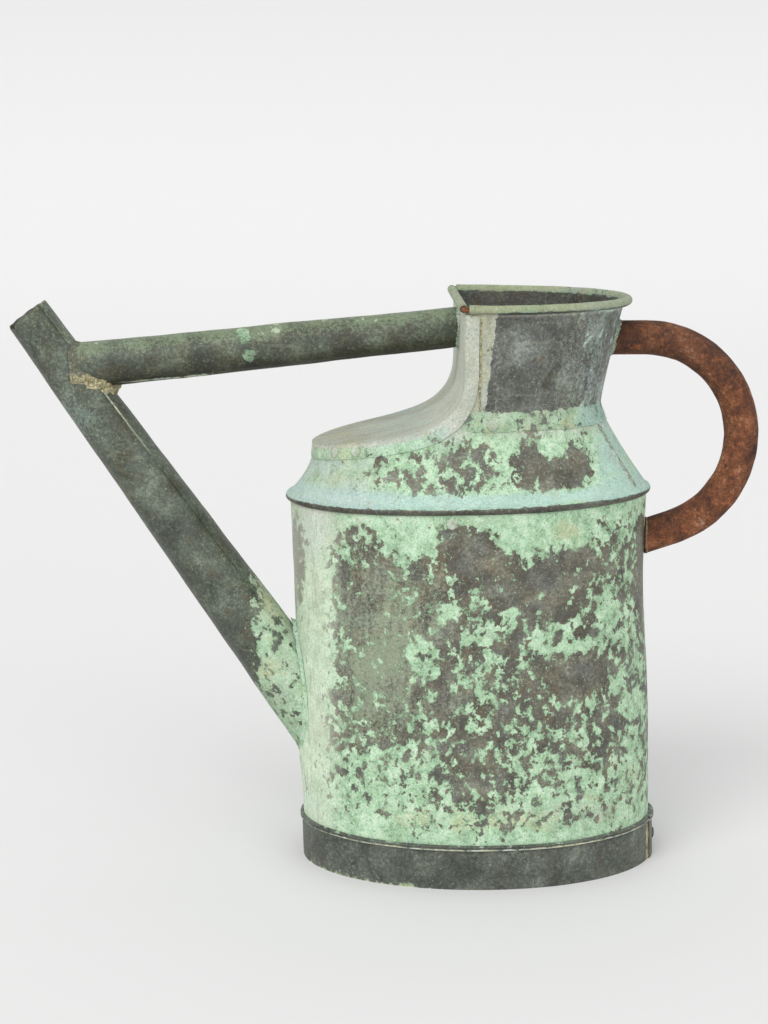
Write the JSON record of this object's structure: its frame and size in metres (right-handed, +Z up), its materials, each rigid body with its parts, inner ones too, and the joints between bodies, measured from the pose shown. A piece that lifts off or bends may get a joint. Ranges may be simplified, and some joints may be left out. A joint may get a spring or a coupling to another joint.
{
  "type": "watering can",
  "caption": "Old oval copper watering can with a D-shaped filling neck, sloping front panel, tapered spout, tubular carrying strut and bent iron rear handle.",
  "frame": {"origin": "on the floor, under the middle of the whole length from the spout's tip to the back of the handle", "axes": "+X towards the rear handle, -X towards the spout, -Y the side that the picture shows, +Z up"},
  "size_m": [0.5173, 0.1774, 0.3976],
  "materials": {
    "aged_copper": "thick pale green verdigris, worn through to brown-grey copper in patches",
    "dark_copper": "dark grey-green patina, matt with scratches",
    "rusty_iron": "red-brown rust",
    "old_solder": "dull yellow-grey solder, lumpy",
    "grey_solder": "pale grey solder, matt"
  },
  "bodies": {
    "root": {"body_wall": "aged_copper", "shoulder": "aged_copper", "front_panel": "aged_copper", "neck_wall": "dark_copper", "foot_band": "dark_copper", "bottom_plate": "dark_copper", "spout": "dark_copper", "strut_tube": "dark_copper", "handle_tube": "rusty_iron", "rim_wire": "rusty_iron", "solder_spout_root": "old_solder", "solder_strut_spout": "old_solder", "solder_strut_neck": "grey_solder", "solder_handle_top": "grey_solder", "solder_handle_foot": "grey_solder", "solder_shoulder_seam": "old_solder", "solder_foot_lap": "old_solder", "solder_panel_front": "old_solder", "solder_panel_back": "old_solder", "neck_rivet_front": "aged_copper", "neck_rivet_back": "aged_copper", "toe_rivet_front": "aged_copper", "toe_rivet_back": "aged_copper", "panel_rivet_front": "aged_copper", "panel_rivet_back": "aged_copper", "seam_rivet_front": "aged_copper", "seam_rivet_back": "aged_copper", "foot_rivet": "dark_copper"}
  },
  "joints": []
}
